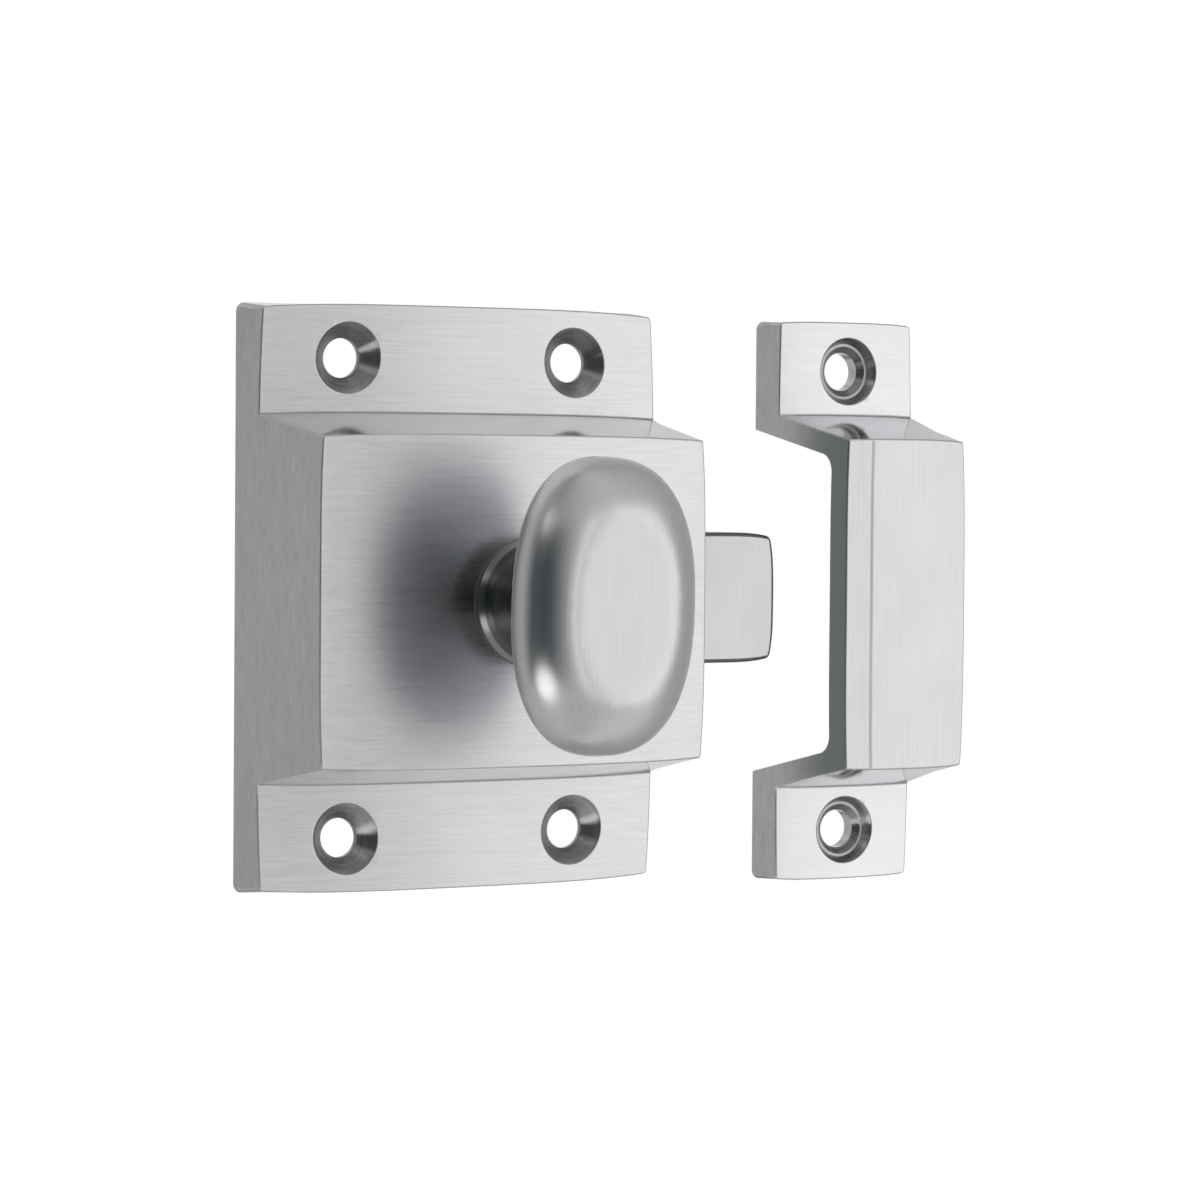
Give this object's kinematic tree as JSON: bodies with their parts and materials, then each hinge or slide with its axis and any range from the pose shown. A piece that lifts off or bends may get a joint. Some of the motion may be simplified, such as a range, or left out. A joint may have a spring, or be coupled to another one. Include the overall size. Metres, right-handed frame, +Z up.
{
  "type": "cupboard catch latch",
  "caption": "Surface-mounted cupboard catch: an oval turn knob draws a sprung sliding bolt out of a bridge-shaped keeper; satin metal.",
  "frame": {"origin": "on the knob's axis, at the back plane of the case, where it meets the door", "axes": "+X towards the keeper, +Y into the door, +Z up; the knob points along -Y"},
  "size_m": [0.0849, 0.0411, 0.0647],
  "materials": {
    "satin_chrome": "satin chrome plate, linished along the faces",
    "plated_steel": "bright zinc plate",
    "brass": "self-coloured, as turned",
    "spring_steel": "drawn wire"
  },
  "bodies": {
    "root": {"case": "satin_chrome", "back_plate": "plated_steel", "back_screw_1": "plated_steel", "back_screw_2": "plated_steel", "back_screw_3": "plated_steel", "back_screw_4": "plated_steel", "spindle_washer": "brass", "bolt_spring": "spring_steel", "keeper": "satin_chrome"},
    "turning_knob": {"knob": "satin_chrome", "cam": "brass", "cam_washer": "plated_steel", "cam_screw": "plated_steel"},
    "sliding_bolt": {"bolt": "satin_chrome"}
  },
  "joints": [
    {"name": "bolt_slide", "type": "slide", "parent": "root", "child": "sliding_bolt", "axis": [-1, 0, 0], "range_m": [0, 0.00675], "stiffness_N_per_m": 200, "springref_m": -0.01, "deforming": ["bolt_spring"]},
    {"name": "knob_turn", "type": "hinge", "parent": "root", "child": "turning_knob", "pos_m": [0, 0, 0], "axis": [0, 1, 0], "range_deg": [0, 62]}
  ],
  "couplings": [
    {"joint": "knob_turn", "follows": "bolt_slide", "rad_per_m": 155.03}
  ]
}
